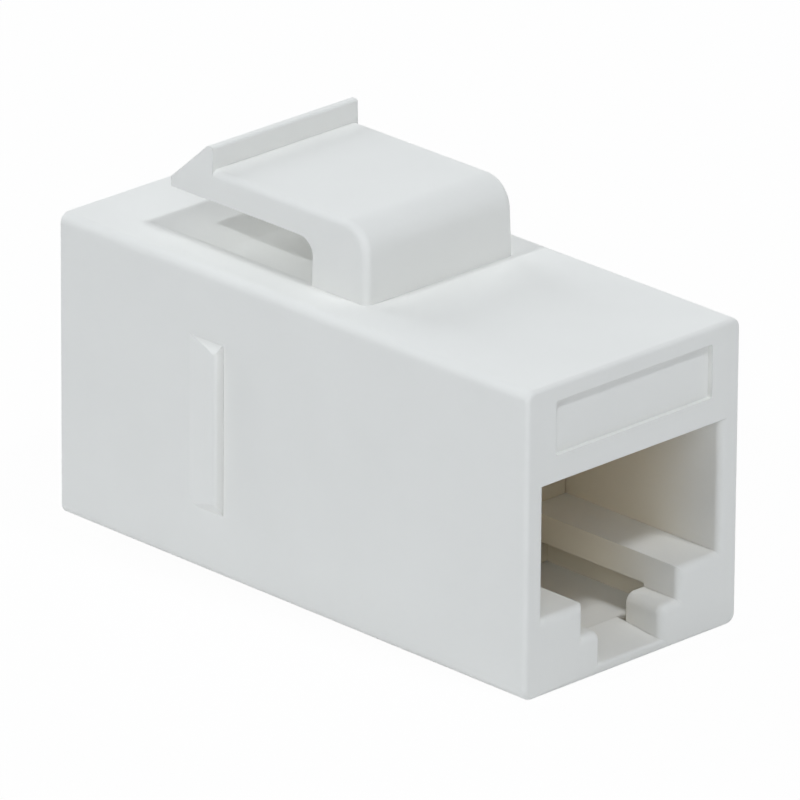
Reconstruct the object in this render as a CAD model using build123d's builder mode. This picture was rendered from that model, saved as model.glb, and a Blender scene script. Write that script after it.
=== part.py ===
from build123d import *
import math
import os

# Inline coupler in keystone format: two eight-way sockets back to back in one moulded housing.
# X is the width, Y runs from the rear socket (-Y) to the panel socket (+Y) and Z is up.
# The origin is under the middle of the housing, level with the foot of the fixed hook.
# Heights are measured from the underside of the body, all sizes are in millimetres.

# Body of the housing
body_width = 14.5
body_height = 16.0
body_length = 32.8
side_wall = 1.25
floor_wall = 0.7
roof_wall = 1.2
long_edge_radius = 0.55
rear_rim_radius = 0.25
panel_rim_chamfer = 0.25

# Snap-in fixing: the latch lip above and the hook below catch behind the panel
catch_setback = 8.65
latch_width = 10.1
latch_draft = 1.5
latch_rise = 4.0
latch_reach = 10.9
arm_thickness = 1.6
root_length = 3.8
root_top_radius = 1.6
root_inner_radius = 0.9
arm_edge_radius = 0.4
lip_rise = 1.15
lip_crest = 0.4
lip_length = 2.9
lip_nose = 0.5
lip_edge_radius = 0.12
hook_width = 9.6
hook_drop = 0.8
hook_crest = 0.6
hook_length = 2.2

# Pocket in the roof that gives the latch arm room to bend
pocket_width = 9.5
pocket_depth = 0.45
pocket_setback = 3.9
pocket_ramp = 4.5

# Wedge rib on each side
rib_setback = 11.85
rib_length = 2.4
rib_rise = 0.6
rib_foot = 3.35
rib_height = 9.0
rib_lower_slope = 0.8
rib_upper_slope = 0.3
rib_edge_radius = 0.2
rib_cap_radius = 0.5
rib_top_round = 2.2
rib_foot_round = 0.8

# Wall over the rear socket, with the label recess in it
label_width = 10.6
label_height = 2.8
label_depth = 0.28
label_corner_radius = 0.12
label_lift = 0.2
lintel_height = 5.05

# Socket opening, alike at both ends
plug_depth = 10.5
shoulder_height = 4.0
frame_depth = 2.4
tab_slot_width = 6.5
tab_groove_width = 9.6
tab_groove_height = 1.8
tab_catch_height = 1.6
tab_catch_gap = 4.1
tab_catch_radius = 0.5
mouth_radius = 0.42
sill_depth = 3.0
sill_rise = 0.2
sill_fall = 0.15
sill_radius = 0.2
tab_pit_width = 0.65
tab_pit_depth = 0.35

# Bezel that closes the panel end
bezel_step = 0.6
bezel_fit = 0.05
barb_rise = 0.35
barb_length = 1.5
barb_height = 1.4
barb_lift = 1.6
barb_setback = 5.5
barb_clearance = 0.08

# Contact carriers and circuit board
slide_fit = 0.05
stop_wall = 1.1
rim_wall = 0.9
tongue_gap = 0.2
tongue_front_gap = 0.4
groove_depth = 0.3
groove_width = 0.56
nose_radius = 0.65
comb_depth = 0.8
comb_height = 3.6
board_thickness = 1.2
board_margin = 0.5
board_hole_radius = 0.35

# Spring contacts
contact_count = 8
contact_pitch = 1.02
wire_width = 0.4
wire_thickness = 0.26
wire_seat_gap = 0.02
wire_slope = 22.0
wire_bend_radius = 0.5
tail_row_spacing = 2.4
tail_overhang = 0.35
free_end_gap = 0.3

# Places that follow from the sizes above
underside = hook_drop
roof = underside + body_height
rear_face = -body_length / 2
panel_face = body_length / 2
inner_width = body_width - 2 * side_wall
floor_top = underside + floor_wall
inner_roof = roof - roof_wall
shoulder_top = underside + shoulder_height
plug_top = roof - lintel_height
catch_face = panel_face - catch_setback
stop_face = rear_face + plug_depth
frame_back = rear_face + frame_depth
sill_back = rear_face + sill_depth
catch_top = floor_top + tab_catch_height
groove_roof = floor_top + tab_groove_height
step_width = inner_width + 2 * bezel_step
step_roof = inner_roof + bezel_step
barb_middle = panel_face - barb_setback - barb_length / 2
barb_height_middle = floor_top + barb_lift + barb_height / 2
carrier_width = inner_width - 2 * slide_fit
carrier_floor = floor_top + slide_fit
carrier_roof = inner_roof - slide_fit
board_face = -board_thickness / 2
nose_back_radius = nose_radius + groove_depth
tongue_middle = plug_top + tongue_gap + nose_back_radius
nose_centre = frame_back + tongue_front_gap + nose_back_radius
wire_bend = nose_radius + wire_seat_gap + wire_thickness / 2
upper_tail = tongue_middle + wire_bend
lower_tail = upper_tail - tail_row_spacing
contact_row = [contact_pitch * (i - (contact_count - 1) / 2) for i in range(contact_count)]


def across(y):
    """Plane across the body at y, seen from the rear: local x is X and local y is Z."""
    return Plane.XZ.offset(-y)


def both_sides(right_half):
    """Points of a left-right symmetric outline, from its right half listed upwards."""
    return right_half + [(-x, z) for x, z in reversed(right_half)]


# Socket opening: gap between the rounded tab catches, tab slot between the shoulders, plug space above
with BuildSketch() as socket_mouth:
    with BuildLine():
        Polyline(
            *both_sides([
                (tab_catch_gap / 2, floor_top - sill_fall),
                (tab_catch_gap / 2, catch_top),
                (tab_slot_width / 2, catch_top),
                (tab_slot_width / 2, shoulder_top),
                (inner_width / 2, shoulder_top),
                (inner_width / 2, plug_top),
            ]),
            close=True,
        )
    make_face()
    catch_corners = vertices().group_by(Axis.Y)[1].sort_by(lambda corner: abs(corner.X))[:2]
    fillet(catch_corners, radius=tab_catch_radius)

# Latch: root block, arm and ramped lip, with its foot at the level of the pocket floor
with BuildPart() as latch:
    root_rear = catch_face - latch_reach
    root_front = root_rear + root_length
    root_foot = roof - pocket_depth
    arm_top = roof + latch_rise
    arm_underside = arm_top - arm_thickness
    arm_end = catch_face + lip_crest
    with BuildSketch(Plane.YZ):
        with BuildLine():
            Polyline(
                (root_rear, root_foot),
                (root_rear, arm_top),
                (arm_end, arm_top),
                (arm_end, arm_underside),
                (root_front, arm_underside),
                (root_front, root_foot),
                close=True,
            )
        make_face()
        fillet(vertices().group_by(Axis.Y)[1].sort_by(Axis.X)[0], radius=root_inner_radius)
    extrude(amount=latch_width / 2, both=True)
    with BuildSketch(Plane.YZ):
        nose_face = catch_face + lip_length
        with BuildLine():
            Polyline(
                (catch_face, arm_underside),
                (catch_face, arm_top + lip_rise),
                (arm_end, arm_top + lip_rise),
                (nose_face, arm_underside + lip_nose),
                (nose_face, arm_underside),
                close=True,
            )
        make_face()
        heights = vertices().group_by(Axis.Y)
        fillet(heights[1] + heights[2], radius=lip_edge_radius)
    extrude(amount=latch_width / 2, both=True)
    with BuildSketch(Plane.XY.offset(root_foot)):
        with Locations((0, root_rear)):
            Rectangle(latch_width, 2 * latch_reach, align=(Align.CENTER, Align.MIN))
    extrude(amount=2 * latch_rise, taper=latch_draft, mode=Mode.INTERSECT)
    fillet(edges().sort_by_distance((0, root_rear, arm_top))[0], radius=root_top_radius)
    fillet(edges().filter_by(Axis.Y).group_by(Axis.Z)[-2], radius=arm_edge_radius)

# Wedge rib: it rises slowly from a rounded thin end to a sharp step, and slopes off above and below
with BuildPart() as rib:
    rib_step = panel_face - rib_setback
    rib_end = rib_step + rib_length
    rib_base = body_width / 2 - rib_rise
    rib_ridge = body_width / 2 + rib_rise
    rib_bottom = underside + rib_foot
    rib_top = rib_bottom + rib_height
    with BuildSketch(across(rib_step)):
        with BuildLine():
            Polyline(
                (rib_base, rib_bottom - rib_lower_slope),
                (rib_ridge, rib_bottom + rib_lower_slope),
                (rib_ridge, rib_top - rib_upper_slope),
                (rib_base, rib_top + rib_upper_slope),
                close=True,
            )
        make_face()
        fillet(vertices().sort_by(Axis.X)[-2:], radius=rib_cap_radius)
    extrude(amount=-2 * rib_length)
    with BuildSketch(Plane.YZ):
        with BuildLine():
            Polyline(
                (rib_step, rib_bottom),
                (rib_step, rib_top),
                (rib_end, rib_top),
                (rib_end, rib_bottom),
                close=True,
            )
        make_face()
        thin_corners = vertices().sort_by(Axis.X)[-2:].sort_by(Axis.Y)
        fillet(thin_corners[0], radius=rib_foot_round)
        fillet(thin_corners[1], radius=rib_top_round)
    extrude(amount=body_width, mode=Mode.INTERSECT)
    with BuildSketch(Plane.XY.offset(underside)):
        with BuildLine():
            Polyline(
                (rib_base, rib_step),
                (rib_ridge, rib_step),
                (rib_base, rib_end + rib_length),
                close=True,
            )
        make_face()
        fillet(vertices().sort_by(Axis.X)[-1], radius=rib_edge_radius)
    extrude(amount=body_height, mode=Mode.INTERSECT)

# Housing: one moulding with the rear socket, open at the panel end
with BuildPart() as housing:
    with BuildSketch(across(panel_face)):
        with Locations((0, underside + body_height / 2)):
            RectangleRounded(body_width, body_height, long_edge_radius)
    extrude(amount=body_length)
    fillet(edges().group_by(Axis.Y)[0], radius=rear_rim_radius)
    chamfer(edges().group_by(Axis.Y)[-1], length=panel_rim_chamfer)

    # Room for the inner stack, then the plug space with its tab groove, then the mouth
    with BuildSketch(across(panel_face)):
        with Locations((0, (floor_top + inner_roof) / 2)):
            Rectangle(inner_width, inner_roof - floor_top)
    extrude(amount=panel_face - stop_face, mode=Mode.SUBTRACT)
    with BuildSketch(across(stop_face)):
        with BuildLine():
            Polyline(
                *both_sides([
                    (tab_groove_width / 2, floor_top),
                    (tab_groove_width / 2, groove_roof),
                    (tab_slot_width / 2, groove_roof),
                    (tab_slot_width / 2, shoulder_top),
                    (inner_width / 2, shoulder_top),
                    (inner_width / 2, inner_roof),
                ]),
                close=True,
            )
        make_face()
    extrude(amount=stop_face - frame_back, mode=Mode.SUBTRACT)
    with BuildSketch(across(frame_back)):
        add(socket_mouth.sketch)
    extrude(amount=frame_depth, mode=Mode.SUBTRACT)

    # Sill that rises from the mouth for the plug's tab, and a pit behind the foot of each tab catch
    with BuildSketch(Plane.YZ):
        with BuildLine():
            Polyline(
                (rear_face, floor_top - sill_fall),
                (sill_back, floor_top + sill_rise),
                (sill_back, floor_top - sill_fall),
                close=True,
            )
        make_face()
    extrude(amount=tab_catch_gap / 2, both=True)
    mouth_edges = faces().sort_by(Axis.Y)[0].inner_wires()[0].edges().sort_by(Axis.Z)
    fillet(mouth_edges[1:-1], radius=mouth_radius)
    sill_edge = faces().sort_by(Axis.Y)[0].inner_wires()[0].edges().sort_by(Axis.Z)[0]
    fillet(sill_edge, radius=sill_radius)
    for side in (-1, 1):
        with Locations((side * (tab_catch_gap + tab_pit_width) / 2, frame_back, floor_top)):
            Box(
                tab_pit_width,
                sill_back - frame_back,
                2 * tab_pit_depth,
                align=(Align.CENTER, Align.MIN, Align.CENTER),
                mode=Mode.SUBTRACT,
            )

    # Label recess
    with BuildSketch(across(rear_face)):
        with Locations((0, (plug_top + roof) / 2 + label_lift)):
            RectangleRounded(label_width, label_height, label_corner_radius)
    extrude(amount=-label_depth, mode=Mode.SUBTRACT)

    # Step for the bezel, and a blind recess for each of its barbs
    with BuildSketch(across(panel_face)):
        with Locations((0, (floor_top + step_roof) / 2)):
            Rectangle(step_width, step_roof - floor_top)
    extrude(amount=frame_depth, mode=Mode.SUBTRACT)
    with Locations((0, barb_middle, barb_height_middle)):
        Box(
            inner_width + 2 * (barb_rise + barb_clearance),
            barb_length + 2 * barb_clearance,
            barb_height + 2 * barb_clearance,
            mode=Mode.SUBTRACT,
        )

    # Pocket under the latch arm, ramped up to the roof at its panel end
    with BuildSketch(Plane.YZ):
        pocket_front = panel_face - pocket_setback
        with BuildLine():
            Polyline(
                (root_front, roof),
                (root_front, root_foot),
                (pocket_front - pocket_ramp, root_foot),
                (pocket_front, roof),
                close=True,
            )
        make_face()
    extrude(amount=pocket_width / 2, both=True, mode=Mode.SUBTRACT)
    add(latch.part)

    # Fixed hook under the body, with its catch face below that of the latch lip
    with BuildSketch(Plane.YZ):
        with BuildLine():
            Polyline(
                (catch_face, underside),
                (catch_face, underside - hook_drop),
                (catch_face + hook_crest, underside - hook_drop),
                (catch_face + hook_length, underside),
                close=True,
            )
        make_face()
    extrude(amount=hook_width / 2, both=True)
    add(rib.part)
    add(mirror(rib.part, about=Plane.YZ, mode=Mode.PRIVATE))

# Bezel: frame in the panel end, with two rails that carry the plug and hold the inner stack
with BuildPart() as panel_bezel:
    bezel_top = step_roof - bezel_fit
    rail_side = inner_width / 2 - bezel_fit
    with BuildSketch(across(panel_face)):
        with Locations((0, (floor_top + bezel_top) / 2)):
            Rectangle(step_width - 2 * bezel_fit, bezel_top - floor_top)
        add(socket_mouth.sketch, mode=Mode.SUBTRACT)
    extrude(amount=frame_depth)
    front_edges = edges().group_by(Axis.Y)[-1]
    mouth_edges = front_edges.filter_by(
        lambda edge: floor_top < edge.center().Z < plug_top and abs(edge.center().X) <= inner_width / 2
    )
    fillet(mouth_edges, radius=mouth_radius)
    with BuildSketch(across(panel_face - frame_depth)):
        with BuildLine():
            Polyline(
                (tab_slot_width / 2, groove_roof),
                (tab_slot_width / 2, shoulder_top),
                (rail_side, shoulder_top),
                (rail_side, floor_top),
                (tab_groove_width / 2, floor_top),
                (tab_groove_width / 2, groove_roof),
                close=True,
            )
        make_face()
        mirror(about=Plane.YZ)
    extrude(amount=plug_depth - frame_depth)
    with BuildSketch(Plane.XY.offset(barb_height_middle)):
        with BuildLine():
            Polyline(
                (rail_side, barb_middle - barb_length / 2),
                (rail_side, barb_middle + barb_length / 2),
                (rail_side + barb_rise, barb_middle + barb_length / 2),
                close=True,
            )
        make_face()
        mirror(about=Plane.YZ)
    extrude(amount=barb_height / 2, both=True)

# Contact carrier: open-backed block whose front stops the plug, under a tongue grooved for the wires
with BuildPart() as rear_contact_carrier:
    block_depth = board_face - stop_face
    carrier_height = carrier_roof - carrier_floor
    with BuildSketch(across(board_face)):
        with Locations((0, (carrier_floor + carrier_roof) / 2)):
            Rectangle(carrier_width, carrier_height)
    extrude(amount=block_depth)
    with BuildSketch(across(board_face)):
        with Locations((0, (carrier_floor + carrier_roof) / 2)):
            Rectangle(carrier_width - 2 * rim_wall, carrier_height - 2 * rim_wall)
    extrude(amount=block_depth - stop_wall, mode=Mode.SUBTRACT)
    with BuildSketch(Plane.YZ):
        with Locations(((nose_centre + stop_face) / 2, tongue_middle)):
            Rectangle(stop_face - nose_centre, 2 * nose_back_radius)
        with Locations((nose_centre, tongue_middle)):
            Circle(nose_back_radius)
    extrude(amount=carrier_width / 2, both=True)

    # One groove per wire through the stop wall, over the tongue and round its nose to where the wire leaves
    groove_back = stop_face + stop_wall
    wire_relief = groove_depth / math.tan(math.radians(wire_slope))
    for x in contact_row:
        with BuildSketch(Plane.YZ.offset(x)):
            with Locations((nose_centre, tongue_middle)):
                Circle(nose_back_radius)
                Circle(nose_radius, mode=Mode.SUBTRACT)
                Rectangle(
                    nose_back_radius,
                    2 * nose_back_radius,
                    align=(Align.MIN, Align.CENTER),
                    mode=Mode.SUBTRACT,
                )
            with Locations((nose_centre, tongue_middle + nose_radius)):
                Rectangle(groove_back - nose_centre, groove_depth, align=(Align.MIN, Align.MIN))
            with Locations((nose_centre, tongue_middle - nose_radius)):
                Rectangle(wire_relief, groove_depth, align=(Align.MIN, Align.MAX))
        extrude(amount=groove_width / 2, both=True, mode=Mode.SUBTRACT)

    # Comb for the free ends of the wires in the face of the stop wall
    with Locations((0, stop_face + comb_depth / 2, tongue_middle - nose_back_radius - comb_height / 2)):
        with GridLocations(contact_pitch, 0, contact_count, 1):
            Box(groove_width, comb_depth, comb_height, mode=Mode.SUBTRACT)

with BuildPart() as panel_contact_carrier:
    add(rear_contact_carrier.part, rotation=(0, 0, 180))

# Circuit board: upright between the carriers, with a row of holes for each height of contact tail
with BuildPart() as circuit_board:
    board_width = carrier_width - 2 * slide_fit
    with BuildSketch(across(-board_face)):
        with Locations((0, (carrier_floor + carrier_roof) / 2)):
            Rectangle(board_width, carrier_height - 2 * board_margin)
        for tail_height in (upper_tail, lower_tail):
            with Locations((0, tail_height)):
                with GridLocations(contact_pitch, 0, contact_count, 1):
                    Circle(board_hole_radius, mode=Mode.SUBTRACT)
    extrude(amount=board_thickness)

# Spring contacts: a tail in the board, a run over the tongue, a bend round its nose, a sloping free end
with BuildPart() as contact_straight:
    tail_end = -board_face + tail_overhang
    free_end = stop_face + free_end_gap
    with BuildSketch(Plane.YZ):
        with BuildLine():
            Line((tail_end, upper_tail), (nose_centre, upper_tail))
            bend = CenterArc((nose_centre, tongue_middle), wire_bend, 90, 180 - wire_slope)
            slope_length = (free_end - (bend @ 1).X) / math.cos(math.radians(wire_slope))
            PolarLine(bend @ 1, slope_length, -wire_slope)
        trace(line_width=wire_thickness)
    extrude(amount=wire_width / 2, both=True)

with BuildPart() as contact_jogged:
    jog = (groove_back + board_face) / 2
    with BuildSketch(Plane.YZ):
        with BuildLine():
            FilletPolyline(
                (tail_end, lower_tail),
                (jog, lower_tail),
                (jog, upper_tail),
                (nose_centre, upper_tail),
                radius=wire_bend_radius,
            )
            bend = CenterArc((nose_centre, tongue_middle), wire_bend, 90, 180 - wire_slope)
            PolarLine(bend @ 1, slope_length, -wire_slope)
        trace(line_width=wire_thickness)
    extrude(amount=wire_width / 2, both=True)

# One file for each piece
pieces = {
    "housing": housing.part,
    "panel_bezel": panel_bezel.part,
    "rear_contact_carrier": rear_contact_carrier.part,
    "panel_contact_carrier": panel_contact_carrier.part,
    "circuit_board": circuit_board.part,
}
for number, x in enumerate(contact_row, start=1):
    shape = contact_straight.part if number % 2 else contact_jogged.part
    pieces[f"rear_contact_{number}"] = Pos(x, 0, 0) * shape
    pieces[f"panel_contact_{number}"] = Rot(0, 0, 180) * Pos(x, 0, 0) * shape

os.makedirs("parts", exist_ok=True)
for name, piece in pieces.items():
    piece.label = name
    export_step(piece, f"parts/{name}.step")
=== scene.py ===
import math

import bpy
import numpy as np
from mathutils import Matrix, Vector

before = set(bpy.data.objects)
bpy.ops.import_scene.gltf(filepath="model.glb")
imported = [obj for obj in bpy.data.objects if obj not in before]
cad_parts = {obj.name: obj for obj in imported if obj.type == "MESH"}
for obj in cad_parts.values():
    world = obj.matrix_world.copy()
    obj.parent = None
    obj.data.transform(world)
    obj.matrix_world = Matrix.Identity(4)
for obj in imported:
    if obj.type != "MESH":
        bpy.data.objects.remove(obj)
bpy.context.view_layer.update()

# Housing: one white moulding that carries the latch arm, the side ribs, the bare label recess and the
# rear socket. It is injection moulded from white ABS in a lightly spark-eroded tool, so its faces are
# satin and very slightly mottled. Light that bounces about inside it turns a little warm, and that
# warmth is painted into the colour of its hollow as painted bounce light.
MM = 0.001
# Such a tool's grit is nearer 0.05 mm wide and a few microns deep. It is drawn coarser so that it shows.
HOUSING_GRIT_MM = 0.14
GRIT_DEPTH_MM = 0.012
GRIT_STRENGTH = 0.35
GRIT_DETAIL = 2.0
MOTTLE_MM = 5.0
MOTTLE_DETAIL = 3.0
MOTTLE_SPAN = (0.3, 0.7)
EDGE_RADIUS_MM = 0.06
EDGE_SAMPLES = 6
PLASTIC_IOR = 1.53
PLASTIC_GLOSS = 0.3
HOUSING_ROUGHNESS = 0.58
ROUGHNESS_SPREAD = 0.05
# The hollow of the coupler in the frame's own places, and how far in from a mouth its painted warm bounce
# light is full.
INNER_HALF_WIDTH_MM = 6.3
INNER_FLOOR_MM = 1.2
INNER_ROOF_MM = 15.8
INNER_DEPTH_MM = 6.0
MOUTH_MM = 16.2


def colour(hex_code):
    """sRGB hex to linear: the standard piecewise curve on each of the three channels."""
    channels = np.array([int(hex_code[i:i + 2], 16) for i in (1, 3, 5)]) / 255
    linear = np.where(channels <= 0.04045, channels / 12.92, ((channels + 0.055) / 1.055) ** 2.4)
    return (*linear.tolist(), 1.0)


def add_node(tree, kind, settings=None, links=None):
    """Adds one node. Settings are its properties and socket values, links the outputs wired to its sockets.

    A socket goes by its name, or by its number where several share a name.
    """
    node = tree.nodes.new(kind)
    for key, value in (settings or {}).items():
        if isinstance(key, str) and hasattr(node, key):
            setattr(node, key, value)
        else:
            node.inputs[key].default_value = value
    for key, source in (links or {}).items():
        tree.links.new(source, node.inputs[key])
    return node


def new_finish(name):
    """An empty finish: the material, its tree and its shader."""
    material = bpy.data.materials.new(name)
    material.use_nodes = True
    return material, material.node_tree, material.node_tree.nodes["Principled BSDF"]


def spread_tones(ramp, hex_codes, span):
    """Sets the two ends of a colour ramp."""
    for element, hex_code, position in zip(ramp.color_ramp.elements, hex_codes, span):
        element.color = colour(hex_code)
        element.position = position


def dress(node_name, material):
    """Gives a CAD node one finish all over."""
    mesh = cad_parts[node_name].data
    mesh.materials.clear()
    mesh.materials.append(material)


def painted_bounce_share(tree, place):
    """Share of the painted warm bounce light: 0 outside, at the two mouths and on faces that look up, rising
    smoothly to 1 at INNER_DEPTH_MM inside.

    It is the smoothed depth behind the nearer mouth, times 1 within each limit of the hollow and 0 beyond
    it, times the share of the normal that doesn't point up, as faces that look up catch the lamps directly
    and keep no painted warmth.
    """
    x, y, z = add_node(tree, "ShaderNodeSeparateXYZ", {}, {"Vector": place}).outputs
    aside, along = (add_node(tree, "ShaderNodeMath", {"operation": "ABSOLUTE"}, {0: way}).outputs[0]
                    for way in (x, y))
    normal = add_node(tree, "ShaderNodeNewGeometry").outputs["Normal"]
    upward = add_node(tree, "ShaderNodeSeparateXYZ", {}, {"Vector": normal}).outputs["Z"]
    depth = add_node(tree, "ShaderNodeMapRange",
                     {"interpolation_type": "SMOOTHSTEP", "From Min": MOUTH_MM * MM,
                      "From Max": (MOUTH_MM - INNER_DEPTH_MM) * MM}, {"Value": along})
    share = depth.outputs["Result"]
    level = add_node(tree, "ShaderNodeMath", {"operation": "SUBTRACT", "use_clamp": True, 0: 1.0},
                     {1: upward})
    factors = [level.outputs[0]]
    limits = (("LESS_THAN", aside, INNER_HALF_WIDTH_MM),
              ("GREATER_THAN", z, INNER_FLOOR_MM),
              ("LESS_THAN", z, INNER_ROOF_MM))
    for test, way, limit in limits:
        within = add_node(tree, "ShaderNodeMath", {"operation": test, 1: limit * MM}, {0: way})
        factors.append(within.outputs[0])
    for factor in factors:
        product = add_node(tree, "ShaderNodeMath", {"operation": "MULTIPLY"}, {0: share, 1: factor})
        share = product.outputs[0]
    return share


def moulded_plastic(name, tone_codes, painted_bounce_code, roughness, grit_mm):
    """Moulded plastic: slow mottle of two near tones, a warm third one painted deep inside as bounce light,
    grit as bump and roughness.
    """
    material, tree, shader = new_finish(name)
    place = add_node(tree, "ShaderNodeTexCoord").outputs["Object"]
    mottle = add_node(tree, "ShaderNodeTexNoise", {"Scale": 1 / (MOTTLE_MM * MM), "Detail": MOTTLE_DETAIL},
                      {"Vector": place})
    tones = add_node(tree, "ShaderNodeValToRGB", {}, {"Fac": mottle.outputs["Fac"]})
    spread_tones(tones, tone_codes, MOTTLE_SPAN)
    # In a colour mix, socket 0 is the share, 6 and 7 are the two colours, and output 2 is the result.
    # The third colour is painted warm bounce light in the hollow, not a tone of the plastic.
    mottle_and_painted_bounce = add_node(tree, "ShaderNodeMix", {"data_type": "RGBA", 7: colour(painted_bounce_code)},
                     {0: painted_bounce_share(tree, place), 6: tones.outputs["Color"]})
    grit = add_node(tree, "ShaderNodeTexNoise", {"Scale": 1 / (grit_mm * MM), "Detail": GRIT_DETAIL},
                    {"Vector": place}).outputs["Fac"]
    gloss = add_node(tree, "ShaderNodeMapRange",
                     {"To Min": roughness - ROUGHNESS_SPREAD, "To Max": roughness + ROUGHNESS_SPREAD},
                     {"Value": grit})
    edges = add_node(tree, "ShaderNodeBevel", {"samples": EDGE_SAMPLES, "Radius": EDGE_RADIUS_MM * MM})
    bump = add_node(tree, "ShaderNodeBump", {"Strength": GRIT_STRENGTH, "Distance": GRIT_DEPTH_MM * MM},
                    {"Height": grit, "Normal": edges.outputs["Normal"]})
    tree.links.new(mottle_and_painted_bounce.outputs[2], shader.inputs["Base Color"])
    tree.links.new(gloss.outputs["Result"], shader.inputs["Roughness"])
    tree.links.new(bump.outputs["Normal"], shader.inputs["Normal"])
    shader.inputs["IOR"].default_value = PLASTIC_IOR
    shader.inputs["Specular IOR Level"].default_value = PLASTIC_GLOSS
    return material


# F6EEDC is painted warm bounce light deep in the hollow; the plastic itself is the two mottled tones.
white_abs = moulded_plastic("white_moulded_abs", ("#F4F4F1", "#F6F6F3"), "#F6EEDC",
                            HOUSING_ROUGHNESS, HOUSING_GRIT_MM)
dress("housing", white_abs)

# Bezel: the white frame that is pushed into the panel end and snaps in behind the side walls.
# It is moulded from the same white ABS as the housing, so it takes the same finish.
dress("panel_bezel", white_abs)

# Contact carriers: the insulators over the plug spaces, with grooves and a comb for the wires.
# They are moulded from natural glass-filled PBT, which is creamier than the housing and dull from its
# fibres. The fibres are about 0.01 mm thick, so their grit is drawn coarser to show.
CARRIER_GRIT_MM = 0.2
CARRIER_ROUGHNESS = 0.55
# E3DAC5 is painted warm bounce light deep in the hollow; the PBT itself is the two mottled tones.
natural_pbt = moulded_plastic("natural_moulded_pbt", ("#DFD9C8", "#E6E0D0"), "#E3DAC5",
                              CARRIER_ROUGHNESS, CARRIER_GRIT_MM)
for carrier in ("rear_contact_carrier", "panel_contact_carrier"):
    dress(carrier, natural_pbt)

# Circuit board: glass-epoxy sheet under green solder mask, held upright between the two carriers.
# The weave shows faintly through the mask, which is a smooth, fairly glossy lacquer.
WEAVE_MM = 0.45
MASK_ROUGHNESS = 0.3
solder_mask, mask_tree, mask_shader = new_finish("solder_mask_on_glass_epoxy")
mask_place = add_node(mask_tree, "ShaderNodeTexCoord").outputs["Object"]
weave = add_node(mask_tree, "ShaderNodeTexChecker",
                 {"Scale": 1 / (WEAVE_MM * MM), "Color1": colour("#1F6B3A"), "Color2": colour("#1B6234")},
                 {"Vector": mask_place})
mask_tree.links.new(weave.outputs["Color"], mask_shader.inputs["Base Color"])
mask_shader.inputs["Roughness"].default_value = MASK_ROUGHNESS
dress("circuit_board", solder_mask)

# Spring contacts: sixteen flat phosphor-bronze strips, formed round the carrier noses and gold plated.
# Rolling and plating leave fine lines along each strip, so its tone and gloss are streaked. The real
# lines are a few microns apart and are drawn coarser so that they show.
STREAK_MM = 0.05
STREAK_LENGTH_MM = 2.0
STREAK_DETAIL = 2.0
GOLD_SPAN = (0.0, 1.0)
GOLD_ROUGHNESS = (0.24, 0.34)
CONTACTS_PER_SOCKET = 8
gold_plate, gold_tree, gold_shader = new_finish("gold_plated_phosphor_bronze")
gold_place = add_node(gold_tree, "ShaderNodeTexCoord").outputs["Object"]
streak_scale = [1 / (size * MM) for size in (STREAK_MM, STREAK_LENGTH_MM, STREAK_LENGTH_MM)]
stretched = add_node(gold_tree, "ShaderNodeMapping", {"Scale": streak_scale}, {"Vector": gold_place})
streaks = add_node(gold_tree, "ShaderNodeTexNoise", {"Scale": 1.0, "Detail": STREAK_DETAIL},
                   {"Vector": stretched.outputs["Vector"]}).outputs["Fac"]
gold_tones = add_node(gold_tree, "ShaderNodeValToRGB", {}, {"Fac": streaks})
spread_tones(gold_tones, ("#C9993F", "#E0B860"), GOLD_SPAN)
gold_gloss = add_node(gold_tree, "ShaderNodeMapRange",
                      {"To Min": GOLD_ROUGHNESS[0], "To Max": GOLD_ROUGHNESS[1]}, {"Value": streaks})
gold_tree.links.new(gold_tones.outputs["Color"], gold_shader.inputs["Base Color"])
gold_tree.links.new(gold_gloss.outputs["Result"], gold_shader.inputs["Roughness"])
gold_shader.inputs["Metallic"].default_value = 1.0
for end in ("rear", "panel"):
    for number in range(1, CONTACTS_PER_SOCKET + 1):
        dress(f"{end}_contact_{number}", gold_plate)

# Floor: a wide sheet of white card. The coupler leans on its fixed hook and its rear lower edge, so the
# card lies along those two lines. To the camera it is nearly pure white and keeps a soft shadow.
FLOOR_HALF = 1.5
FLOOR_GLOW = 0.97
CARD_ROUGHNESS = 0.9
# The two lines that it rests on, along the length, and the height of the second above the first.
HOOK_EDGE_MM = 7.75
REAR_EDGE_MM = -16.15
REAR_EDGE_HEIGHT_MM = 0.8


def seen_directly(tree):
    """1 for rays from the camera, off gloss or through clear things, 0 for rays that only carry light."""
    rays = add_node(tree, "ShaderNodeLightPath").outputs
    seen = rays["Is Camera Ray"]
    for kind in ("Is Glossy Ray", "Is Transmission Ray"):
        larger = add_node(tree, "ShaderNodeMath", {"operation": "MAXIMUM"}, {0: seen, 1: rays[kind]})
        seen = larger.outputs[0]
    return seen


floor_slope = REAR_EDGE_HEIGHT_MM / (REAR_EDGE_MM - HOOK_EDGE_MM)
floor_plan = np.array([(-1, -1), (1, -1), (1, 1), (-1, 1)]) * FLOOR_HALF
floor_height = floor_slope * (floor_plan[:, 1] - HOOK_EDGE_MM * MM)
floor_mesh = bpy.data.meshes.new("floor")
floor_mesh.from_pydata(np.column_stack((floor_plan, floor_height)).tolist(), [], [(0, 1, 2, 3)])
floor = bpy.data.objects.new("floor", floor_mesh)
bpy.context.scene.collection.objects.link(floor)
card, card_tree, card_shader = new_finish("white_card")
card_shader.inputs["Base Color"].default_value = colour("#F4F4F4")
card_shader.inputs["Roughness"].default_value = CARD_ROUGHNESS
card_glow = add_node(card_tree, "ShaderNodeEmission", {"Color": colour("#FFFFFF"), "Strength": 1.0})
card_share = add_node(card_tree, "ShaderNodeMath", {"operation": "MULTIPLY", 1: FLOOR_GLOW},
                      {0: seen_directly(card_tree)})
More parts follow.
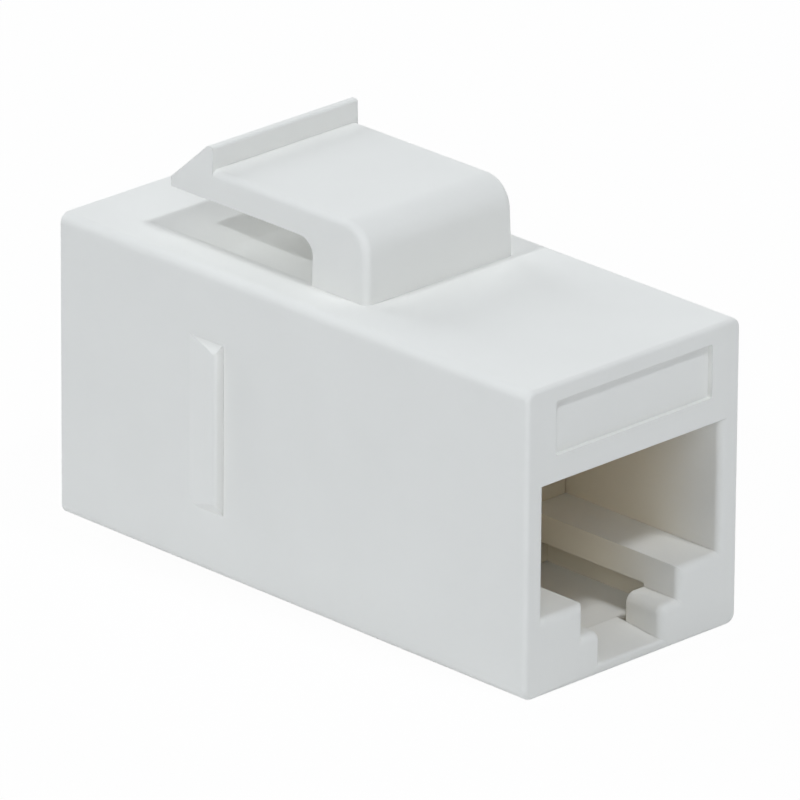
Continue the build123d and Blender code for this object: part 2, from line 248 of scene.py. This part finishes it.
card_mix = add_node(card_tree, "ShaderNodeMixShader", {},
                    {0: card_share.outputs[0], 1: card_shader.outputs["BSDF"],
                     2: card_glow.outputs["Emission"]})
card_tree.links.new(card_mix.outputs["Shader"], card_tree.nodes["Material Output"].inputs["Surface"])
floor_mesh.materials.append(card)

# Studio light: small soft boxes high in front and at the left give the clear shadows, larger ones beside
# the camera, at the right, behind and overhead fill them, in a dim even room. The room is pure white to
# the camera, to gloss and through clear things, so the background is white with no more light on the part.
ROOM_LIGHT = 0.06
LAMP_COLOUR = "#F7FBFF"
# Distances and sizes of lamps are in metres and their power is in watts.
LAMP_DISTANCE = 0.5
world = bpy.data.worlds.new("white_room")
bpy.context.scene.world = world
world.use_nodes = True
room_tree = world.node_tree
room_light = room_tree.nodes["Background"]
room_light.inputs["Color"].default_value = colour(LAMP_COLOUR)
room_light.inputs["Strength"].default_value = ROOM_LIGHT
room_white = add_node(room_tree, "ShaderNodeBackground", {"Color": colour("#FFFFFF"), "Strength": 1.0})
room_mix = add_node(room_tree, "ShaderNodeMixShader", {},
                    {0: seen_directly(room_tree), 1: room_light.outputs["Background"],
                     2: room_white.outputs["Background"]})
room_tree.links.new(room_mix.outputs["Shader"], room_tree.nodes["World Output"].inputs["Surface"])


def way_out(azimuth, elevation):
    """Unit vector away from the part: azimuth 0 degrees is in front of the rear socket, positive to +X."""
    a, e = math.radians(azimuth), math.radians(elevation)
    return Vector((math.sin(a) * math.cos(e), -math.cos(a) * math.cos(e), math.sin(e)))


def soft_box(name, azimuth, elevation, size, power):
    """Square area lamp on a sphere about the part, turned to face it."""
    lamp = bpy.data.lights.new(name, "AREA")
    lamp.size = size
    lamp.energy = power
    lamp.color = colour(LAMP_COLOUR)[:3]
    outward = way_out(azimuth, elevation)
    lamp_object = bpy.data.objects.new(name, lamp)
    turn = outward.to_track_quat("Z", "Y").to_matrix().to_4x4()
    lamp_object.matrix_world = Matrix.Translation(outward * LAMP_DISTANCE) @ turn
    bpy.context.scene.collection.objects.link(lamp_object)


soft_box("front_box", azimuth=4, elevation=60, size=0.06, power=0.74)
soft_box("near_box", azimuth=-44, elevation=30, size=0.25, power=0.41)
soft_box("left_box", azimuth=-97, elevation=44, size=0.02, power=0.63)
soft_box("right_box", azimuth=100, elevation=25, size=0.3, power=0.61)
soft_box("back_box", azimuth=180, elevation=25, size=0.3, power=0.88)
soft_box("overhead_box", azimuth=0, elevation=88, size=0.35, power=0.07)

# Camera: a long lens that looks down on the rear socket from its left, turned as the photograph is.
# It is aimed at the middle of the body, and then moved a little to frame the part as there.
CAMERA_AZIMUTH = -44.45
CAMERA_ELEVATION = 22.11
CAMERA_ROLL = 0.384
CAMERA_DISTANCE_MM = 603.2
AIM_MM = (0.0, 0.0, 8.8)
AIM_RIGHT_MM = 0.257
AIM_UP_MM = 0.777
SENSOR_MM = 36.0
LENS_MM = 555.18
CLIP_NEAR = 0.01
CLIP_FAR = 20.0
back = way_out(CAMERA_AZIMUTH, CAMERA_ELEVATION)
roll = math.radians(CAMERA_ROLL)
level_right = Vector((0, 0, 1)).cross(back).normalized()
level_up = back.cross(level_right)
right = math.cos(roll) * level_right + math.sin(roll) * level_up
up = math.cos(roll) * level_up - math.sin(roll) * level_right
eye = (Vector(AIM_MM) + right * AIM_RIGHT_MM + up * AIM_UP_MM + back * CAMERA_DISTANCE_MM) * MM
lens = bpy.data.cameras.new("camera")
lens.sensor_width = SENSOR_MM
lens.lens = LENS_MM
lens.clip_start = CLIP_NEAR
lens.clip_end = CLIP_FAR
camera = bpy.data.objects.new("camera", lens)
camera.matrix_world = Matrix.Translation(eye) @ Matrix((right, up, back)).transposed().to_4x4()
bpy.context.scene.collection.objects.link(camera)
bpy.context.scene.camera = camera
bpy.context.scene.view_settings.view_transform = "Standard"
